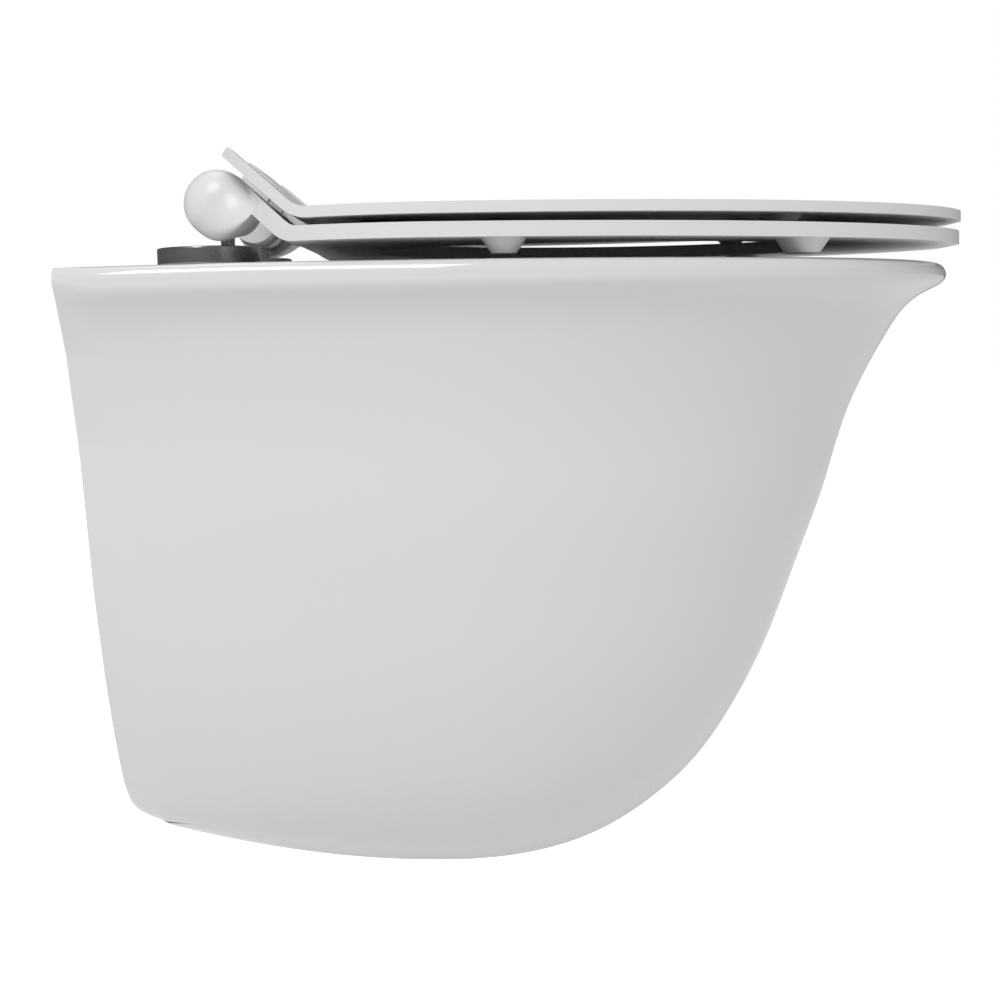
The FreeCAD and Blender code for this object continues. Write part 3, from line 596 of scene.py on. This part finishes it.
# Power of the knob's superellipses where it is tallest, and what the thin end adds to it.
KNOB_POWER = 2.4
THIN_END_POWER = 1.6
KNOB_AHEAD_STEPS = 30
KNOB_BEHIND_STEPS = 15
KNOB_ROUND_STEPS = 64

# Width of the rounded edges of seat, lid and hinge pieces.
SEAT_ROUNDING = 1.6
LID_ROUNDING = 1.4
BASE_ROUNDING = 1.0
BARREL_ROUNDING = 0.8


def narrowed_arms(piece):
    """Draws the outer corner of each raised arm in towards the knob, so that the arm ends inside it.

    The width outside ARM_INNER shrinks with the eased share of the way along the last ARM_NARROWS.
    """
    mesh = piece.data
    points = np.empty(len(mesh.vertices) * 3)
    mesh.vertices.foreach_get("co", points)
    points = points.reshape(-1, 3) / MM
    back = -points[:, 1] - AXIS_BACK
    above = points[:, 2] - AXIS_HEIGHT
    away = back * math.sin(ARM_ANGLE) + above * math.cos(ARM_ANGLE)
    along = above * math.sin(ARM_ANGLE) - back * math.cos(ARM_ANGLE)
    on_plate = (away > ARM_NEAR - ARM_FACE_MARGIN) & (away < ARM_FAR + ARM_FACE_MARGIN)
    on_plate &= (along > -ARM_NARROWS) & (along < ARM_END_MARGIN)
    on_plate &= np.abs(np.hypot(away, along) - KNOB_RADIUS) > SAME_LEVEL
    outside = np.maximum(np.abs(points[:, 0]) - ARM_INNER, 0)
    share = 1 - (1 - ARM_END_WIDTH) * eased(1 + along / ARM_NARROWS)
    drawn_in = np.sign(points[:, 0]) * (ARM_INNER + outside * share)
    move = on_plate & (outside > 0)
    points[move, 0] = drawn_in[move]
    mesh.vertices.foreach_set("co", (points * MM).ravel())
    mesh.update()


def knob_grid(side):
    """The knob as it flows into its arm.

    Every section square to the arm is a superellipse. Behind the hinge axis the sections shrink like
    those of a ball. In front of it the top stays level with the arm and the underside rises with the
    square root of one less the cube of the distance, until the section is as thin as the arm.
    """
    ahead = np.linspace(-1, 0, KNOB_AHEAD_STEPS)
    behind = np.linspace(0, math.pi / 2, KNOB_BEHIND_STEPS + 1)[1:]
    along = np.concatenate([KNOB_LONG * ahead, KNOB_RADIUS * np.sin(behind)])
    body = np.concatenate([np.sqrt(np.maximum(0, 1 + ahead ** 3)), np.ones(KNOB_BEHIND_STEPS)])
    size = np.concatenate([np.ones(KNOB_AHEAD_STEPS), np.cos(behind)])
    thin_low = ARM_NEAR + KNOB_UNDER_NEAR
    thin_high = ARM_FAR - KNOB_UNDER_FAR
    low = thin_low - (thin_low + KNOB_RADIUS) * body
    high = thin_high + (KNOB_RADIUS - thin_high) * body
    outer = KNOB_OUTER + KNOB_WIDENS * np.concatenate([ahead ** 2, np.zeros(KNOB_BEHIND_STEPS)])
    middle = (outer + KNOB_INNER) / 2
    half = (outer - KNOB_INNER) / 2 * size
    lift = (high + low) / 2 * size
    tall = (high - low) / 2 * size
    power = (2 / (KNOB_POWER + THIN_END_POWER * (1 - body)))[:, None]
    turn = np.linspace(0, 2 * math.pi, KNOB_ROUND_STEPS, endpoint=False)[None, :]
    x = middle[:, None] + half[:, None] * np.sign(np.cos(turn)) * np.abs(np.cos(turn)) ** power
    away = lift[:, None] + tall[:, None] * np.sign(np.sin(turn)) * np.abs(np.sin(turn)) ** power
    back = AXIS_BACK + away * math.sin(ARM_ANGLE) - along[:, None] * math.cos(ARM_ANGLE)
    height = AXIS_HEIGHT + away * math.cos(ARM_ANGLE) + along[:, None] * math.sin(ARM_ANGLE)
    rings = np.stack([side * x, -back, height], -1)
    first_cap = np.broadcast_to(rings[0].mean(0), rings[0].shape)
    rings = np.concatenate([first_cap[None], rings])
    faces = grid_faces(rings.shape[0], rings.shape[1], close=True)
    return rings.reshape(-1, 3), faces if side > 0 else faces[:, ::-1]


def make_seat():
    """The seat with rounded edges, whose arms flow into the knobs."""
    seat = rounded_copy("seat", "seat", "seat_white", SEAT_ROUNDING)
    narrowed_arms(seat)
    for name, side in (("left", -1), ("right", 1)):
        points, faces = knob_grid(side)
        new_piece("seat_knob_" + name, points, faces.tolist(), "seat", "seat_white")


# ----------------------------------------------------------------------------------------------
# Camera, light and floor
# ----------------------------------------------------------------------------------------------

CAMERA_AT = Vector((-1.1, -0.2346, 0.0433))
CAMERA_PITCH = math.radians(5.32)
CAMERA_ROLL = math.radians(1.4)
CAMERA_LENS = 63.46
CAMERA_FILM = 36

# Strength of the world as soft light, and as reflections show it.
WORLD_LIGHT = 0.62
WORLD_MIRRORED = 0.12

# Name, place, the point it faces, width and height, and watts.
LIGHTS = (
    ("key", (-1.95, 0.5, 2.1), (0, -0.25, -0.05), (1.6, 1.2), 38),
    ("top", (0.9, -0.1, 2.3), (0, -0.25, 0), (1.6, 1.6), 10),
)

# The floor lies below the hung pan. The lift is what it adds for the camera alone, to look white.
FLOOR_BELOW = 0.115
FLOOR_REACH = 6
FLOOR_COLOUR = 0.86
FLOOR_LIFT = 0.8


def make_camera():
    """The photo's view: from the side, level with the pan, a little from above."""
    data = bpy.data.cameras.new("camera")
    data.lens = CAMERA_LENS
    data.sensor_width = CAMERA_FILM
    camera = bpy.data.objects.new("camera", data)
    bpy.context.scene.collection.objects.link(camera)
    ahead = Vector((math.cos(CAMERA_PITCH), 0, -math.sin(CAMERA_PITCH)))
    right = Vector((0, -1, 0))
    above = right.cross(ahead)
    tilted_right = right * math.cos(CAMERA_ROLL) - above * math.sin(CAMERA_ROLL)
    tilted_up = above * math.cos(CAMERA_ROLL) + right * math.sin(CAMERA_ROLL)
    turn = Matrix((tilted_right, tilted_up, -ahead)).transposed()
    camera.matrix_world = Matrix.Translation(CAMERA_AT) @ turn.to_4x4()
    bpy.context.scene.camera = camera


def area_light(name, at, towards, size, power):
    """A soft rectangular light that faces a point."""
    data = bpy.data.lights.new(name, "AREA")
    data.shape = "RECTANGLE"
    data.size, data.size_y = size
    data.energy = power
    light = bpy.data.objects.new(name, data)
    light.location = at
    light.rotation_euler = (Vector(towards) - Vector(at)).to_track_quat("-Z", "Y").to_euler()
    bpy.context.scene.collection.objects.link(light)


def make_world(strength, mirrored):
    """Even white light, darker in reflections, with plain white behind all for the camera."""
    world = bpy.data.worlds.new("studio")
    bpy.context.scene.world = world
    world.use_nodes = True
    nodes, links = world.node_tree.nodes, world.node_tree.links
    nodes.clear()
    output = nodes.new("ShaderNodeOutputWorld")
    path = nodes.new("ShaderNodeLightPath")
    seen = None
    for ray, value in ((None, strength), ("Is Glossy Ray", mirrored), ("Is Camera Ray", 1)):
        light = nodes.new("ShaderNodeBackground")
        light.inputs["Color"].default_value = (1, 1, 1, 1)
        light.inputs["Strength"].default_value = value
        if ray is None:
            seen = light.outputs["Background"]
            continue
        mix = nodes.new("ShaderNodeMixShader")
        links.new(path.outputs[ray], mix.inputs["Fac"])
        links.new(seen, mix.inputs[1])
        links.new(light.outputs["Background"], mix.inputs[2])
        seen = mix.outputs["Shader"]
    links.new(seen, output.inputs["Surface"])


def make_floor(low):
    """A pale floor that keeps the shadow and is white to the camera where nothing shades it."""
    mesh = bpy.data.meshes.new("floor")
    corners = [(FLOOR_REACH * x, FLOOR_REACH * y, low) for x, y in ((-1, -1), (1, -1), (1, 1), (-1, 1))]
    mesh.from_pydata(corners, [], [(0, 1, 2, 3)])
    white = new_material("floor_white", grey(FLOOR_COLOUR), (0.6, 0.7), 3, 1e-5)
    nodes, links = white.node_tree.nodes, white.node_tree.links
    shader = nodes["Principled BSDF"]
    shader.inputs["Specular IOR Level"].default_value = 0
    shader.inputs["Emission Strength"].default_value = 1
    path = nodes.new("ShaderNodeLightPath")
    lift = nodes.new("ShaderNodeMath")
    lift.operation = "MULTIPLY"
    lift.inputs[1].default_value = FLOOR_LIFT
    links.new(path.outputs["Is Camera Ray"], lift.inputs[0])
    links.new(lift.outputs["Value"], shader.inputs["Emission Color"])
    mesh.materials.append(white)
    floor = bpy.data.objects.new("floor", mesh)
    bpy.context.scene.collection.objects.link(floor)


# ----------------------------------------------------------------------------------------------
# Scene
# ----------------------------------------------------------------------------------------------

dress_nodes()
make_pan()
make_seat()
rounded_copy("lid", "lid", "seat_white", LID_ROUNDING)
for side in ("left", "right"):
    rounded_copy("hinge_base_" + side, "pan", "chrome_trim", BASE_ROUNDING)
    rounded_copy("hinge_barrel_" + side, "pan", "chrome_trim", BARREL_ROUNDING)

make_camera()
make_world(WORLD_LIGHT, WORLD_MIRRORED)
for light in LIGHTS:
    area_light(*light)
make_floor(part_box("pan_skirt")[0].z - FLOOR_BELOW)
bpy.context.scene.view_settings.view_transform = "Standard"
